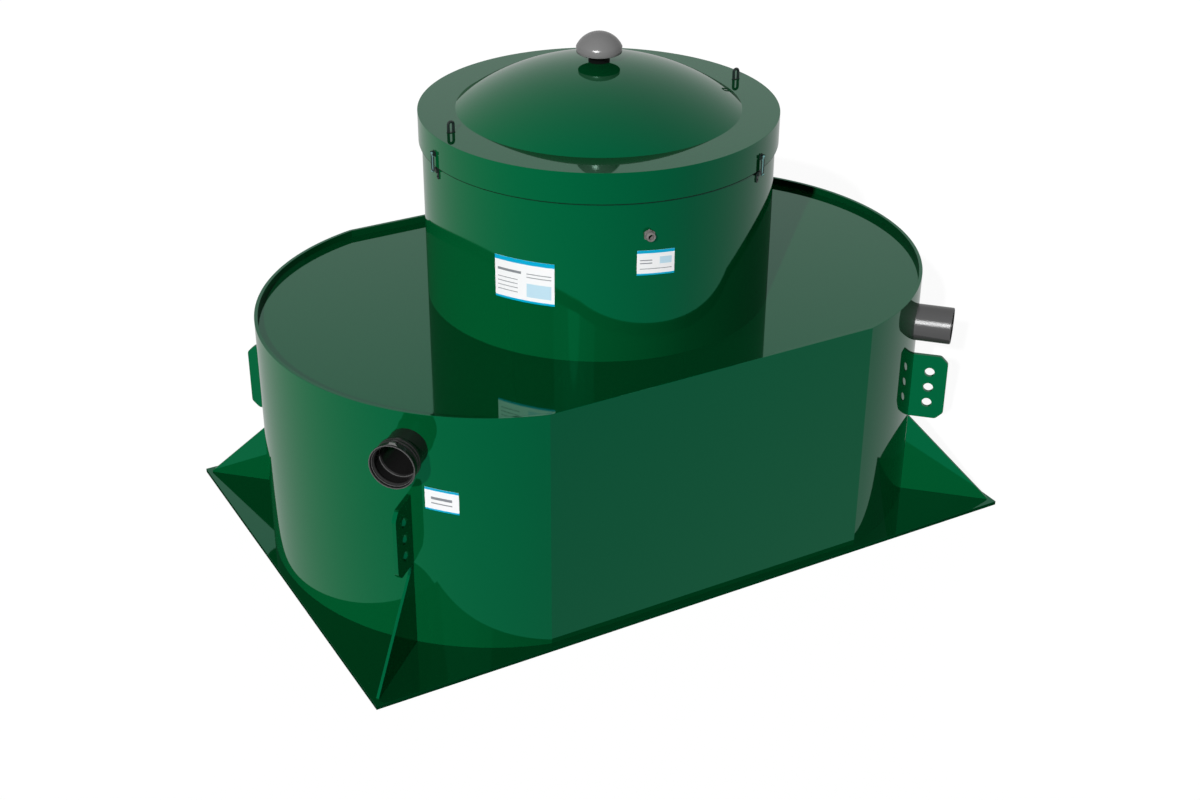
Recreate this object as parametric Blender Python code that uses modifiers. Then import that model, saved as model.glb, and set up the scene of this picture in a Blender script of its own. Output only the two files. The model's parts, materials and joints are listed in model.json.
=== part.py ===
"""Biological sewage treatment unit: a green plastic tank with a round neck and a lift-off lid.

Metres, +Z up, +X along the tank, the front at -Y. The origin is the middle of the base plate's underside.
"""
import math

import bmesh
import bpy
from mathutils import Matrix, Vector

# base plate
PLATE_LENGTH = 2.086
PLATE_WIDTH = 1.366
PLATE_T = 0.012

# tank: two flat walls and two round ends
WALL_T = 0.010
RIM_Z = 0.7365          # top edge of the tank's walls
END_R = 0.687           # outer radius of a round end
END_X = 0.3355          # centre of that radius, either way from the middle
FLAT_Y = 0.664          # outer face of a flat wall
DECK_Z = 0.716          # top of the sunk deck
DECK_T = 0.010
DECK_HOLE_R = 0.484

# neck and lid
NECK_R = 0.500
NECK_T = 0.010
LID_Z = 1.2695          # top of the lid's flat ring
LID_R = 0.5095
LID_T = 0.008
LID_HOLE_R = 0.390
SKIRT_T = 0.0045
SKIRT_BOTTOM_Z = 1.182
DOME_R = 0.403
DOME_RISE = 0.129
DOME_T = 0.006
DOME_FOOT = 0.011       # width of the flat ring that the dome stands on

# vent
VENT_R = 0.030
VENT_T = 0.003
VENT_LOW_Z = 1.340
VENT_TOP_Z = 1.433
CAP_R = 0.0645
CAP_TOP_Z = 1.4815
CAP_SHOULDER_Z = 1.437  # where the dome of the cap turns into its upright band
CAP_LOW_Z = 1.4225
CAP_ROUND = 0.004       # of the band's lower edge
CAP_T = 0.004

# pipes on the front corners
PIPE_R = 0.055
PIPE_T = 0.0032
PIPE_INSIDE = 0.050     # how far a pipe reaches inside the wall
OUTLET_ANGLE = -45
OUTLET_Z = 0.6035
OUTLET_REACH = 0.105    # beyond the wall's outer face
INLET_ANGLE = -136.15
INLET_Z = 0.634
INLET_REACH = 0.108
MOUTH_R = 0.0642        # rolled edge of the inlet's mouth
MOUTH_LENGTH = 0.006
MOUTH_BORE_R = 0.0605
BELL_R = 0.0612
BELL_BORE_R = 0.0560
BELL_LENGTH = 0.050
BELL_TAPER = 0.010      # length over which the bell narrows to the pipe
GROOVE_DEPTH = 0.0014
GROOVE_WIDTH = 0.006
GROOVE_PLACES = (0.027, 0.039)
CHAMBER = (0.009, 0.019)    # the seal's seat, from and to, behind the mouth
CHAMBER_R = 0.0590
SEAL_BORE_R = 0.0548

# lugs and gussets point at the base plate's corners
CORNERS = {"front_left": -136.5, "front_right": -43.5, "back_right": 43.5, "back_left": 136.5}
LUG_T = 0.012
LUG_OUT = 0.105
LUG_LOW_Z = 0.2765
LUG_TOP_Z = 0.4885
LUG_CHAMFER = 0.022
LUG_HOLE_R = 0.015
LUG_HOLE_OUT = 0.0525   # hole centres, beyond the wall's outer face
LUG_HOLE_HEIGHTS = (0.3285, 0.3805, 0.4325)
GUSSET_T = 0.008
GUSSET_OUT = 0.268
GUSSET_TOP_Z = 0.271
GUSSET_TOE = 0.004

# lifting eyes on the lid
EYE_OUT = 0.459
EYE_WIRE_R = 0.004
EYE_WIDTH = 0.015       # between the wire's centre lines
EYE_HEIGHT = 0.031      # of the wire's centre line
EYE_BEND = 22.5         # degrees to a step of the bow
EYE_FOOT = (0.026, 0.014, 0.003)

# clasps: a bracket on the skirt, a strap that swings, a keeper on the neck
LATCHES = {"left": 180, "front": -60, "back": 60}
PIN_Z = 1.220
PIN_OUT = 0.516
PIN_R = 0.0014
STRAP_HOLE_R = 0.0020
STRAP_KNUCKLE_R = 0.0037
STRAP_T = 0.002
STRAP_WIDTH = 0.012
STRAP_LENGTH = 0.050
STRAP_TAB = (0.0045, 0.003)     # how far the pull tab stands out, and hangs down
EAR_T = 0.0018
EAR_INNER = 0.0068      # from the middle of the clasp
EAR_FRONT = 0.0030      # beyond the pin's centre
EAR_HEIGHT = 0.0090
BRACKET_LOW = -0.009    # from the pin's centre
BRACKET_TOP = 0.007
BRACKET_CLEAR = 0.0010  # between the knuckle and the bracket's plate
KEEPER_SIZE = (0.0095, 0.012, 0.013)
KEEPER_Z = 1.170

# cable gland on the neck
GLAND_ANGLE = -103.8
GLAND_Z = 1.086
GLAND_BORE_R = 0.008
GLAND_LENGTH = 0.021
GLAND_R = 0.0135
GLAND_MOUTH_R = 0.0115
GLAND_ROUND = 0.004     # length of the nut's rounded end
HEXAGON_R = 0.0165
HEXAGON_LENGTH = 0.007

GAP = 0.0003            # between touching pieces
ARC_STEP = 5.0          # degrees to a flat on the large round walls

GREEN = (0.004, 0.127, 0.040)
ZINC = (0.42, 0.46, 0.50)
GREY = (0.22, 0.22, 0.22)
PIPE_GREY = (0.16, 0.16, 0.165)
BLACK = (0.012, 0.012, 0.012)


def clear_scene():
    for old in list(bpy.data.objects):
        bpy.data.objects.remove(old, do_unlink=True)


def make_collection(name):
    collection = bpy.data.collections.new(name)
    bpy.context.scene.collection.children.link(collection)
    return collection


def make_material(name, colour, roughness, metallic=0.0):
    material = bpy.data.materials.new(name)
    material.use_nodes = True
    shader = material.node_tree.nodes["Principled BSDF"]
    shader.inputs["Base Color"].default_value = (*colour, 1.0)
    shader.inputs["Roughness"].default_value = roughness
    shader.inputs["Metallic"].default_value = metallic
    return material


clear_scene()
PARTS = make_collection("sewage_treatment_unit")
CUTTERS = make_collection("cutters")
GREEN_PLASTIC = make_material("green_plastic", GREEN, 0.15)
ZINC_STEEL = make_material("zinc_steel", ZINC, 0.35, 1.0)
CAP_PLASTIC = make_material("cap_plastic", GREY, 0.35)
PIPE_PLASTIC = make_material("pipe_plastic", PIPE_GREY, 0.25)
BLACK_PLASTIC = make_material("black_plastic", BLACK, 0.4)
SEAL_RUBBER = make_material("seal_rubber", BLACK, 0.7)


def add_object(name, data, material, collection=PARTS):
    """A named object in the given collection, with one material."""
    obj = bpy.data.objects.new(name, data)
    collection.objects.link(obj)
    if material is not None:
        data.materials.clear()
        data.materials.append(material)
    return obj


def smooth(obj):
    obj.data.shade_smooth()
    obj.data.set_sharp_from_angle(angle=math.radians(30))


def place(obj, location, turn_z=0.0, tilt_x=0.0):
    """Tilt about X first, then turn about Z (degrees), then move."""
    obj.location = location
    obj.rotation_euler = (math.radians(tilt_x), 0.0, math.radians(turn_z))
    return obj


def settle(obj):
    """Bake the object's modifiers into its mesh, with doubled points welded."""
    bpy.context.view_layer.update()
    evaluated = obj.evaluated_get(bpy.context.evaluated_depsgraph_get())
    mesh = bpy.data.meshes.new_from_object(evaluated)
    shape = bmesh.new()
    shape.from_mesh(mesh)
    bmesh.ops.remove_doubles(shape, verts=shape.verts, dist=0.00001)
    bmesh.ops.recalc_face_normals(shape, faces=shape.faces)
    shape.to_mesh(mesh)
    shape.free()
    name, matrix, material = obj.name, obj.matrix_world.copy(), obj.active_material
    bpy.data.objects.remove(obj, do_unlink=True)
    solid = add_object(name, mesh, material)
    solid.matrix_world = matrix
    return solid


def arc(centre, radius, start, end, step):
    """Points on a circle from start to end, in degrees, at most step apart."""
    count = max(1, math.ceil(abs(end - start) / step - 1e-6))
    points = []
    for i in range(count + 1):
        angle = math.radians(start + (end - start) * i / count)
        points.append((centre[0] + radius * math.cos(angle), centre[1] + radius * math.sin(angle)))
    return points


def circle(centre, radius, sides):
    return arc(centre, radius, 0.0, 360.0 - 360.0 / sides, 360.0 / sides)


def slab(name, outlines, thickness, material):
    """A flat plate from closed outlines in its own XY plane; inner outlines are holes."""
    curve = bpy.data.curves.new(name, "CURVE")
    curve.dimensions = "2D"
    curve.fill_mode = "BOTH"
    curve.extrude = thickness / 2
    for outline in outlines:
        spline = curve.splines.new("POLY")
        spline.points.add(len(outline) - 1)
        for point, (x, y) in zip(spline.points, outline):
            point.co = (x, y, 0.0, 1.0)
        spline.use_cyclic_u = True
    obj = settle(add_object(name, curve, material))
    return obj


def turned(name, profile, material, sides=48, closed=True):
    """A shape turned about Z from (radius, height) points that run down its outer side."""
    mesh = bpy.data.meshes.new(name)
    points = [(r, 0.0, z) for r, z in profile]
    edges = [(i, i + 1) for i in range(len(points) - 1)]
    if closed:
        edges.append((len(points) - 1, 0))
    mesh.from_pydata(points, edges, [])
    obj = add_object(name, mesh, material)
    screw = obj.modifiers.new("turn", "SCREW")
    screw.axis = "Z"
    screw.angle = math.tau
    screw.steps = sides
    screw.render_steps = sides
    screw.use_merge_vertices = True
    screw.merge_threshold = 0.00001
    screw.use_smooth_shade = True
    return obj


def round_wall(name, radius, thickness, low, high, start, end, centre_x=0.0):
    """A wall bent to an arc about a vertical axis; radius is its outer face, angles in degrees."""
    inset = math.degrees(GAP / 2 / (radius - thickness))
    outline = arc((centre_x, 0.0), radius, start + inset, end - inset, ARC_STEP)
    outline += arc((centre_x, 0.0), radius - thickness, end - inset, start + inset, ARC_STEP)
    wall = slab(name, [outline], high - low, GREEN_PLASTIC)
    return place(wall, (0.0, 0.0, (low + high) / 2))


def cutter_rod(name, radius, length, matrix, sides=40):
    """A round cutter along the matrix's Z axis, centred on its origin."""
    shape = bmesh.new()
    bmesh.ops.create_cone(shape, cap_ends=True, segments=sides, radius1=radius, radius2=radius, depth=length)
    mesh = bpy.data.meshes.new(name)
    shape.to_mesh(mesh)
    shape.free()
    obj = add_object(name, mesh, None, CUTTERS)
    obj.matrix_world = matrix
    obj.hide_render = True
    obj.display_type = "WIRE"
    return obj


def cut(obj, cutter):
    tool = obj.modifiers.new("cut_" + cutter.name, "BOOLEAN")
    tool.operation = "DIFFERENCE"
    tool.solver = "EXACT"
    tool.object = cutter
    return obj


def box(name, size, centre, material):
    shape = bmesh.new()
    matrix = Matrix.Translation(centre) @ Matrix.Diagonal((*size, 1.0))
    bmesh.ops.create_cube(shape, size=1.0, matrix=matrix)
    mesh = bpy.data.meshes.new(name)
    shape.to_mesh(mesh)
    shape.free()
    return add_object(name, mesh, material)


def rod(name, radius, length, matrix, material, sides):
    """A round or many-sided bar along the matrix's Z axis, centred on its origin."""
    shape = bmesh.new()
    bmesh.ops.create_cone(shape, cap_ends=True, segments=sides, radius1=radius, radius2=radius,
                          depth=length, matrix=matrix)
    mesh = bpy.data.meshes.new(name)
    shape.to_mesh(mesh)
    shape.free()
    return add_object(name, mesh, material)


def join(obj, other):
    """Fuse two solids into one body and remove the second."""
    tool = obj.modifiers.new("join", "BOOLEAN")
    tool.operation = "UNION"
    tool.solver = "EXACT"
    tool.object = other
    solid = settle(obj)
    bpy.data.objects.remove(other, do_unlink=True)
    return solid


def outward(angle, reach, height, centre_x=0.0):
    """A point at a distance from a vertical axis, in the direction of the angle in degrees."""
    turn = math.radians(angle)
    return Vector((centre_x + reach * math.cos(turn), reach * math.sin(turn), height))


def pipe_matrix(angle, height, centre_x, reach):
    """A frame whose +Z points outward and level, with its origin on the pipe's outer end."""
    turn = Matrix.Rotation(math.radians(angle), 4, "Z") @ Matrix.Rotation(math.radians(90), 4, "Y")
    return Matrix.Translation(outward(angle, END_R + reach, height, centre_x)) @ turn


def corner_centre_x(angle):
    return END_X if math.cos(math.radians(angle)) > 0 else -END_X


def make_base_plate():
    box("base_plate", (PLATE_LENGTH, PLATE_WIDTH, PLATE_T), (0.0, 0.0, PLATE_T / 2), GREEN_PLASTIC)


def flat_half_length():
    """Where a flat wall's outer face meets the round end's outer face."""
    return END_X + math.sqrt(END_R ** 2 - FLAT_Y ** 2)


def make_flat_walls():
    low = PLATE_T + GAP
    crease = math.atan2(FLAT_Y, flat_half_length() - END_X)
    outer = flat_half_length() - GAP
    inner = outer - WALL_T / math.tan(crease)
    outline = [(-outer, 0.0), (outer, 0.0), (inner, WALL_T), (-inner, WALL_T)]
    for name, turn in (("front_wall", 0.0), ("back_wall", 180.0)):
        wall = slab(name, [outline], RIM_Z - low, GREEN_PLASTIC)
        y = -FLAT_Y if turn == 0.0 else FLAT_Y
        place(wall, (0.0, y, (RIM_Z + low) / 2), turn_z=turn)


def make_end_walls():
    low = PLATE_T + GAP
    crease = math.degrees(math.atan2(FLAT_Y, flat_half_length() - END_X))
    spans = {
        "right_end_front_wall": (-crease, 0.0, END_X),
        "right_end_back_wall": (0.0, crease, END_X),
        "left_end_back_wall": (180.0 - crease, 180.0, -END_X),
        "left_end_front_wall": (180.0, 180.0 + crease, -END_X),
    }
    walls = {}
    for name, (start, end, centre_x) in spans.items():
        walls[name] = round_wall(name, END_R, WALL_T, low, RIM_Z, start, end, centre_x)
    pipes = (("left_end_front_wall", INLET_ANGLE, INLET_Z), ("right_end_front_wall", OUTLET_ANGLE, OUTLET_Z))
    for name, angle, height in pipes:
        matrix = pipe_matrix(angle, height, corner_centre_x(angle), 0.0)
        cut(walls[name], cutter_rod(name + "_hole", PIPE_R + GAP, 0.2, matrix))


def make_deck():
    """Two plates that meet on X = 0 and leave the neck's opening."""
    flat_y = FLAT_Y - WALL_T - GAP
    radius = (END_R - WALL_T) * math.cos(math.radians(ARC_STEP / 2)) - GAP
    crease = math.degrees(math.asin(flat_y / radius))
    opening_end = math.degrees(math.asin(GAP / 2 / DECK_HOLE_R))
    outline = [(GAP / 2, -flat_y)]
    outline += arc((END_X, 0.0), radius, -crease, crease, ARC_STEP)
    outline += [(GAP / 2, flat_y)]
    outline += arc((0.0, 0.0), DECK_HOLE_R, 90.0 - opening_end, -90.0 + opening_end, ARC_STEP)
    for name, turn in (("right_deck", 0.0), ("left_deck", 180.0)):
        deck = slab(name, [outline], DECK_T, GREEN_PLASTIC)
        place(deck, (0.0, 0.0, DECK_Z - DECK_T / 2), turn_z=turn)


QUARTERS = {"right": -45.0, "back": 45.0, "left": 135.0, "front": 225.0}


def make_neck():
    top = LID_Z - LID_T - GAP
    for side, start in QUARTERS.items():
        wall = round_wall("neck_" + side + "_wall", NECK_R, NECK_T, DECK_Z + GAP, top, start, start + 90.0)
        if side == "front":
            bore = gland_matrix()
            cut(wall, cutter_rod("gland_hole", GLAND_BORE_R, 0.06, bore, 20))


def make_lid():
    ring = [(LID_R, LID_Z), (LID_R, LID_Z - LID_T), (LID_HOLE_R, LID_Z - LID_T), (LID_HOLE_R, LID_Z)]
    turned("lid_plate", ring, GREEN_PLASTIC, 72)
    for side, start in QUARTERS.items():
        top = LID_Z - LID_T - GAP
        round_wall("lid_skirt_" + side, LID_R, SKIRT_T, SKIRT_BOTTOM_Z, top, start, start + 90.0)
    make_dome()


def dome_height(reach):
    """Height of the dome's outer face at a distance from its axis: part of a sphere."""
    sphere = (DOME_R ** 2 + DOME_RISE ** 2) / (2 * DOME_RISE)
    centre = LID_Z + GAP + DOME_RISE - sphere
    return centre + math.sqrt(sphere ** 2 - reach ** 2)


def make_dome():
    rings = 6
    start = VENT_R + GAP
    profile = []
    for i in range(rings + 1):
        reach = start + (DOME_R - start) * i / rings
        profile.append((reach, dome_height(reach)))
    inner = [(r, z - DOME_T) for r, z in profile[:-1]]
    inner.append((DOME_R - DOME_FOOT, LID_Z + GAP))
    turned("lid_dome", profile + inner[::-1], GREEN_PLASTIC, 48)


def make_vent():
    """A short pipe through the dome, under a mushroom cap with an upright band."""
    bore = VENT_R - VENT_T
    tube = [(VENT_R, VENT_TOP_Z), (VENT_R, VENT_LOW_Z), (bore, VENT_LOW_Z), (bore, VENT_TOP_Z)]
    turned("vent_pipe", tube, BLACK_PLASTIC, 32)
    outer = []
    inner = []
    steps = 5
    rise = CAP_TOP_Z - CAP_SHOULDER_Z
    inside_r = CAP_R - CAP_T
    for i in range(steps + 1):
        angle = math.radians(90.0 - 90.0 * i / steps)
        outer.append((CAP_R * math.cos(angle), CAP_SHOULDER_Z + rise * math.sin(angle)))
        inner.append((inside_r * math.cos(angle), CAP_SHOULDER_Z + (rise - CAP_T) * math.sin(angle)))
    outer[0] = (0.0, CAP_TOP_Z)
    inner[0] = (0.0, CAP_TOP_Z - CAP_T)
    hole = VENT_R + GAP
    floor_z = CAP_LOW_Z + CAP_T
    low = [(CAP_R, CAP_LOW_Z + CAP_ROUND), (CAP_R - CAP_ROUND, CAP_LOW_Z), (hole, CAP_LOW_Z)]
    low += [(hole, floor_z), (inside_r, floor_z)]
    turned("vent_cap", outer + low + inner[::-1], CAP_PLASTIC, 28, closed=False)


def make_eyes():
    for side, angle in (("left", 180.0), ("right", 0.0)):
        name = "lid_eye_" + side
        foot = box(name, EYE_FOOT, (0.0, 0.0, EYE_FOOT[2] / 2), ZINC_STEEL)
        curve = bpy.data.curves.new("loop", "CURVE")
        curve.dimensions = "3D"
        curve.bevel_depth = EYE_WIRE_R
        curve.bevel_resolution = 2
        curve.use_fill_caps = True
        half = EYE_WIDTH / 2
        bow = arc((0.0, EYE_HEIGHT - half), half, 0.0, 180.0, EYE_BEND)
        route = [(half, EYE_FOOT[2] / 2)] + bow + [(-half, EYE_FOOT[2] / 2)]
        spline = curve.splines.new("POLY")
        spline.points.add(len(route) - 1)
        for point, (x, z) in zip(spline.points, route):
            point.co = (x, 0.0, z, 1.0)
        loop = settle(add_object(name + "_loop", curve, ZINC_STEEL))
        eye = join(foot, loop)
        place(eye, outward(angle, EYE_OUT, LID_Z + GAP), turn_z=angle)


def make_bracket(name):
    """A plate on the skirt with two ears that hold the strap's pin; its origin is the pin's centre."""
    back = LID_R + GAP - PIN_OUT
    front = -STRAP_KNUCKLE_R - BRACKET_CLEAR
    size = (front - back, 2 * (EAR_INNER + EAR_T), BRACKET_TOP - BRACKET_LOW)
    bracket = box(name, size, ((front + back) / 2, 0.0, (BRACKET_LOW + BRACKET_TOP) / 2), ZINC_STEEL)
    ear_size = (EAR_FRONT - back, EAR_T, EAR_HEIGHT)
    for way in (-1, 1):
        ear = box("ear", ear_size, ((EAR_FRONT + back) / 2, way * (EAR_INNER + EAR_T / 2), 0.0), ZINC_STEEL)
        bracket = join(bracket, ear)
    across = Matrix.Rotation(math.radians(90), 4, "X")
    pin = rod("pin", PIN_R, 2 * EAR_INNER + EAR_T, across, ZINC_STEEL, 12)
    return join(bracket, pin)


def make_strap(name):
    """A flat strap that hangs from a knuckle, with a pull tab at its foot, drawn side on."""
    half = STRAP_T / 2
    foot = -STRAP_LENGTH
    tab_out, tab_down = STRAP_TAB
    spread = math.degrees(math.asin(half / STRAP_KNUCKLE_R))
    outline = arc((0.0, 0.0), STRAP_KNUCKLE_R, -90.0 + spread, 270.0 - spread, 30.0)
    outline += [(-half, foot), (tab_out - half, foot - tab_down), (tab_out, foot - half), (half, foot + half)]
    hole = circle((0.0, 0.0), STRAP_HOLE_R, 12)
    return slab(name, [outline, hole], STRAP_WIDTH, ZINC_STEEL)


def make_latches():
    """The bracket and its pin ride on the lid, the keeper stays on the neck, the strap swings."""
    for side, angle in LATCHES.items():
        pin_place = outward(angle, PIN_OUT, PIN_Z)
        place(make_bracket("latch_bracket_" + side), pin_place, turn_z=angle)
        place(make_strap("latch_strap_" + side), pin_place, turn_z=angle, tilt_x=90.0)
        keeper = box("latch_keeper_" + side, KEEPER_SIZE, (KEEPER_SIZE[0] / 2, 0.0, 0.0), ZINC_STEEL)
        place(keeper, outward(angle, NECK_R + GAP, KEEPER_Z), turn_z=angle)


def make_inlet():
    """A push-fit socket with a rolled mouth and two grooves, and the rubber seal in its chamber."""
    matrix = pipe_matrix(INLET_ANGLE, INLET_Z, corner_centre_x(INLET_ANGLE), INLET_REACH)
    total = INLET_REACH + WALL_T + PIPE_INSIDE
    slope = GROOVE_DEPTH
    outer = [(MOUTH_R - slope, 0.0), (MOUTH_R, -slope), (MOUTH_R, -MOUTH_LENGTH)]
    outer += [(BELL_R, -MOUTH_LENGTH - slope)]
    for middle in GROOVE_PLACES:
        start = middle - GROOVE_WIDTH / 2
        end = middle + GROOVE_WIDTH / 2
        outer += [(BELL_R, -start), (BELL_R - GROOVE_DEPTH, -start - slope)]
        outer += [(BELL_R - GROOVE_DEPTH, -end + slope), (BELL_R, -end)]
    outer += [(BELL_R, -BELL_LENGTH), (PIPE_R, -BELL_LENGTH - BELL_TAPER), (PIPE_R, -total)]
    bore = PIPE_R - PIPE_T
    start, end = CHAMBER
    inner = [(bore, -total), (bore, -BELL_LENGTH - BELL_TAPER / 2), (BELL_BORE_R, -BELL_LENGTH)]
    inner += [(BELL_BORE_R, -end), (CHAMBER_R, -end), (CHAMBER_R, -start)]
    inner += [(BELL_BORE_R + GROOVE_DEPTH, -start), (MOUTH_BORE_R, 0.0)]
    socket = turned("inlet_socket", outer + inner, BLACK_PLASTIC, 32)
    socket.matrix_world = matrix
    seal_r = CHAMBER_R - GAP
    seal_start = start + GAP
    seal_end = end - GAP
    middle = (start + end) / 2
    seal = [(seal_r, -seal_start), (seal_r, -seal_end), (SEAL_BORE_R, -seal_end), (SEAL_BORE_R, -middle)]
    ring = turned("inlet_seal", seal, SEAL_RUBBER, 32)
    ring.matrix_world = matrix


def make_outlet():
    total = OUTLET_REACH + WALL_T + PIPE_INSIDE
    bore = PIPE_R - PIPE_T
    profile = [(PIPE_R, 0.0), (PIPE_R, -total), (bore, -total), (bore, 0.0)]
    pipe = turned("outlet_pipe", profile, PIPE_PLASTIC, 40)
    pipe.matrix_world = pipe_matrix(OUTLET_ANGLE, OUTLET_Z, corner_centre_x(OUTLET_ANGLE), OUTLET_REACH)


def make_lugs_and_gussets():
    low_z = PLATE_T + GAP
    chamfer = LUG_CHAMFER
    height = LUG_TOP_Z - LUG_LOW_Z
    lug_outline = [(0.0, 0.0), (LUG_OUT - chamfer, 0.0), (LUG_OUT, chamfer), (LUG_OUT, height - chamfer),
                   (LUG_OUT - chamfer, height), (0.0, height)]
    holes = [circle((LUG_HOLE_OUT, z - LUG_LOW_Z), LUG_HOLE_R, 24) for z in LUG_HOLE_HEIGHTS]
    top = GUSSET_TOP_Z - low_z
    gusset_outline = [(0.0, 0.0), (GUSSET_OUT, 0.0), (GUSSET_OUT, GUSSET_TOE), (GUSSET_TOE, top), (0.0, top)]
    for corner, angle in CORNERS.items():
        centre_x = corner_centre_x(angle)
        lug = slab("lug_" + corner, [lug_outline] + holes, LUG_T, GREEN_PLASTIC)
        place(lug, outward(angle, END_R + GAP, LUG_LOW_Z, centre_x), turn_z=angle, tilt_x=90.0)
        gusset = slab("gusset_" + corner, [gusset_outline], GUSSET_T, GREEN_PLASTIC)
        place(gusset, outward(angle, END_R + GAP, low_z, centre_x), turn_z=angle, tilt_x=90.0)


def gland_matrix():
    turn = Matrix.Rotation(math.radians(GLAND_ANGLE), 4, "Z") @ Matrix.Rotation(math.radians(90), 4, "Y")
    return Matrix.Translation(outward(GLAND_ANGLE, NECK_R + GAP, GLAND_Z)) @ turn


def make_gland():
    """A hexagon against the neck, then a round nut, with the cable's bore through both."""
    bore = GLAND_BORE_R
    nut_foot = HEXAGON_LENGTH - GAP * 2
    nut = [(GLAND_MOUTH_R, GLAND_LENGTH), (GLAND_R, GLAND_LENGTH - GLAND_ROUND), (GLAND_R, nut_foot)]
    nut += [(bore, nut_foot), (bore, GLAND_LENGTH)]
    body = turned("cable_gland", nut, CAP_PLASTIC, 20)
    lift = Matrix.Translation((0.0, 0.0, HEXAGON_LENGTH / 2))
    hexagon = rod("hexagon", HEXAGON_R, HEXAGON_LENGTH, lift, CAP_PLASTIC, 6)
    cut(hexagon, cutter_rod("gland_bore", bore, 2 * GLAND_LENGTH, Matrix.Identity(4), 20))
    gland = join(body, settle(hexagon))
    gland.matrix_world = gland_matrix()


make_base_plate()
make_flat_walls()
make_end_walls()
make_deck()
make_neck()
make_lid()
make_vent()
make_eyes()
make_latches()
make_inlet()
make_outlet()
make_lugs_and_gussets()
make_gland()
for piece in PARTS.objects:
    if not piece.modifiers:
        smooth(piece)
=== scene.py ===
"""Looks of a biological sewage treatment unit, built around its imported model.

Metres, +Z up, +X along the tank towards the outlet, the front at -Y.
"""
import json
import math

import bmesh
import bpy
from mathutils import Matrix, Vector

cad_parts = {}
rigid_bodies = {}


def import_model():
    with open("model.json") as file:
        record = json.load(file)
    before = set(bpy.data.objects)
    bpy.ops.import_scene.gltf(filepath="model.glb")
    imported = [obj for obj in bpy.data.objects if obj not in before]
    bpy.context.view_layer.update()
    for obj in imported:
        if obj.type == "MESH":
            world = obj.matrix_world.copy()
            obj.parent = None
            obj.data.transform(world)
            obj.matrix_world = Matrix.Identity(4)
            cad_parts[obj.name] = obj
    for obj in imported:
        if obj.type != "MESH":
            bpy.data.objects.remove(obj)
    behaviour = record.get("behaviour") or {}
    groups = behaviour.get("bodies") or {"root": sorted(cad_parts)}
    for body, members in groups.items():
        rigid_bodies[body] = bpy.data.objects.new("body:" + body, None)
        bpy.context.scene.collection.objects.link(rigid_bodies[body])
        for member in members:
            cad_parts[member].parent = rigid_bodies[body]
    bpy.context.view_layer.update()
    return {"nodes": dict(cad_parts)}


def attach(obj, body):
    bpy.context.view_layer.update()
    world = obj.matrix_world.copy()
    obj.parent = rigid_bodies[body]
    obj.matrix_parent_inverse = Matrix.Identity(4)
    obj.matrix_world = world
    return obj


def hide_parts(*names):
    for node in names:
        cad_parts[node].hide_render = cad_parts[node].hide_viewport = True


# the same sizes as in the solids
PLATE_T = 0.012
WALL_T = 0.010
RIM_Z = 0.7365
END_R = 0.687
END_X = 0.3355
FLAT_Y = 0.664
DECK_Z = 0.716
DECK_T = 0.010
DECK_HOLE_R = 0.484
NECK_R = 0.500
NECK_T = 0.010
LID_Z = 1.2695
LID_R = 0.5095
LID_T = 0.008
LID_HOLE_R = 0.390
SKIRT_T = 0.0045
SKIRT_BOTTOM_Z = 1.182
DOME_R = 0.403
DOME_RISE = 0.129
DOME_T = 0.006
DOME_FOOT = 0.011
VENT_R = 0.030
VENT_T = 0.003
VENT_LOW_Z = 1.340
VENT_TOP_Z = 1.433
CAP_R = 0.0645
CAP_TOP_Z = 1.4815
CAP_T = 0.004
PIPE_R = 0.055
PIPE_T = 0.0032
PIPE_INSIDE = 0.050
OUTLET_ANGLE = -45
OUTLET_Z = 0.6035
OUTLET_REACH = 0.105
INLET_ANGLE = -136.15
INLET_Z = 0.634
INLET_REACH = 0.108
MOUTH_R = 0.0642
MOUTH_LENGTH = 0.006
MOUTH_BORE_R = 0.0605
BELL_R = 0.0612
BELL_BORE_R = 0.0560
BELL_LENGTH = 0.050
BELL_TAPER = 0.010
GROOVE_DEPTH = 0.0014
GROOVE_WIDTH = 0.006
GROOVE_PLACES = (0.027, 0.039)
CHAMBER = (0.009, 0.019)
CHAMBER_R = 0.0590
SEAL_BORE_R = 0.0548
CORNERS = {"front_left": -136.5, "front_right": -43.5, "back_right": 43.5, "back_left": 136.5}
LUG_T = 0.012
LUG_OUT = 0.105
LUG_LOW_Z = 0.2765
LUG_TOP_Z = 0.4885
LUG_CHAMFER = 0.022
LUG_HOLE_R = 0.015
LUG_HOLE_OUT = 0.0525
LUG_HOLE_HEIGHTS = (0.3285, 0.3805, 0.4325)
EYE_OUT = 0.459
EYE_WIRE_R = 0.004
EYE_WIDTH = 0.015
EYE_HEIGHT = 0.031
LATCHES = {"left": 180, "front": -60, "back": 60}
PIN_Z = 1.220
PIN_OUT = 0.516
STRAP_WIDTH = 0.012
STRAP_LENGTH = 0.050
KEEPER_Z = 1.170
KEEPER_HEIGHT = 0.013
GLAND_ANGLE = -103.8
GLAND_Z = 1.086
GLAND_BORE_R = 0.008
GLAND_LENGTH = 0.021
GLAND_R = 0.0135
GLAND_MOUTH_R = 0.0115
GLAND_ROUND = 0.004
HEXAGON_R = 0.0165
HEXAGON_LENGTH = 0.007
QUARTERS = ("right", "back", "left", "front")

# camera, fitted to the photograph's own edges
CAMERA_PLACE = (-2.4031, -4.2505, 3.0415)
CAMERA_YAW = 0.5166         # from +Y towards +X
CAMERA_PITCH = 0.5088       # downwards
CAMERA_ROLL = 0.0079
CAMERA_LENS = 54.64
SENSOR_WIDTH = 36.0

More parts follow.
